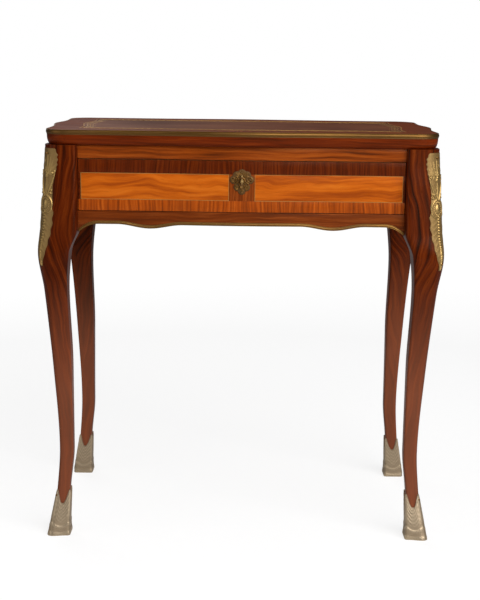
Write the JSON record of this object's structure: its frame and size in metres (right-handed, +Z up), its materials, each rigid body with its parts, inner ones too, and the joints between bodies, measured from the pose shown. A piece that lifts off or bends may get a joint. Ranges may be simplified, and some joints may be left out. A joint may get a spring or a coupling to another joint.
{
  "type": "writing table",
  "caption": "Small writing table on curved legs, with a shaped leather-lined top, a long locking drawer, veneered aprons and gilt mounts.",
  "frame": {"origin": "on the floor under the middle of the table", "axes": "+X to the table's right as seen from the front, -Y towards the sitter (the drawer opens that way), +Z up"},
  "size_m": [0.736, 0.45, 0.76],
  "materials": {
    "kingwood": "french polished veneer",
    "leg_wood": "french polished veneer",
    "tulipwood": "french polished veneer",
    "oak": "plain planed oak",
    "leather": "waxed hide, gilt tooled",
    "gilt_bronze": "chased and worn gilding",
    "gilt_brass": "worn gilding",
    "lock_brass": "dull brass",
    "steel": "dull steel"
  },
  "bodies": {
    "table": {"top_board": "kingwood", "top_band": "gilt_brass", "top_border": "kingwood", "leather_skiver": "leather", "leg_front_left": "leg_wood", "leg_front_right": "leg_wood", "leg_rear_left": "leg_wood", "leg_rear_right": "leg_wood", "top_rail": "kingwood", "apron_rail": "kingwood", "side_rail_left": "oak", "side_rail_right": "oak", "back_rail": "oak", "side_veneer_left": "kingwood", "side_veneer_right": "kingwood", "back_veneer": "kingwood", "side_panel_left": "tulipwood", "side_panel_right": "tulipwood", "back_panel": "tulipwood", "edging_front": "gilt_brass", "edging_left": "gilt_brass", "edging_right": "gilt_brass", "edging_back": "gilt_brass", "runner_left": "oak", "runner_right": "oak", "guide_left": "oak", "guide_right": "oak", "kicker_left": "oak", "kicker_right": "oak", "drawer_stops": "oak", "top_screws": "steel", "knee_mount_front_left": "gilt_bronze", "knee_mount_front_right": "gilt_bronze", "knee_mount_rear_left": "gilt_bronze", "knee_mount_rear_right": "gilt_bronze", "shoe_front_left": "gilt_bronze", "shoe_front_right": "gilt_bronze", "shoe_rear_left": "gilt_bronze", "shoe_rear_right": "gilt_bronze", "mount_pins": "gilt_bronze"},
    "drawer": {"drawer_front": "oak", "drawer_veneer_frame": "kingwood", "drawer_panel_left": "tulipwood", "drawer_panel_right": "tulipwood", "drawer_side_left": "oak", "drawer_side_right": "oak", "drawer_back": "oak", "drawer_bottom": "oak", "bottom_screws": "steel", "lock_case": "lock_brass", "lock_screws": "steel", "keyhole_plate": "gilt_bronze", "plate_pins": "gilt_bronze"},
    "bolt": {"bolt": "steel"},
    "key": {"key": "lock_brass"}
  },
  "joints": [
    {"name": "drawer_slide", "type": "slide", "parent": "table", "child": "drawer", "axis": [0, -1, 0], "range_m": [0, 0.26]},
    {"name": "key_turn", "type": "hinge", "parent": "drawer", "child": "key", "pos_m": [0, -0.199, 0.672], "axis": [0, 1, 0], "range_deg": [0, 180]},
    {"name": "bolt_slide", "type": "slide", "parent": "drawer", "child": "bolt", "axis": [0, 0, 1], "range_m": [0, 0.0081]}
  ],
  "couplings": [
    {"joint": "bolt_slide", "follows": "key_turn", "m_per_rad": 0.0025464}
  ]
}
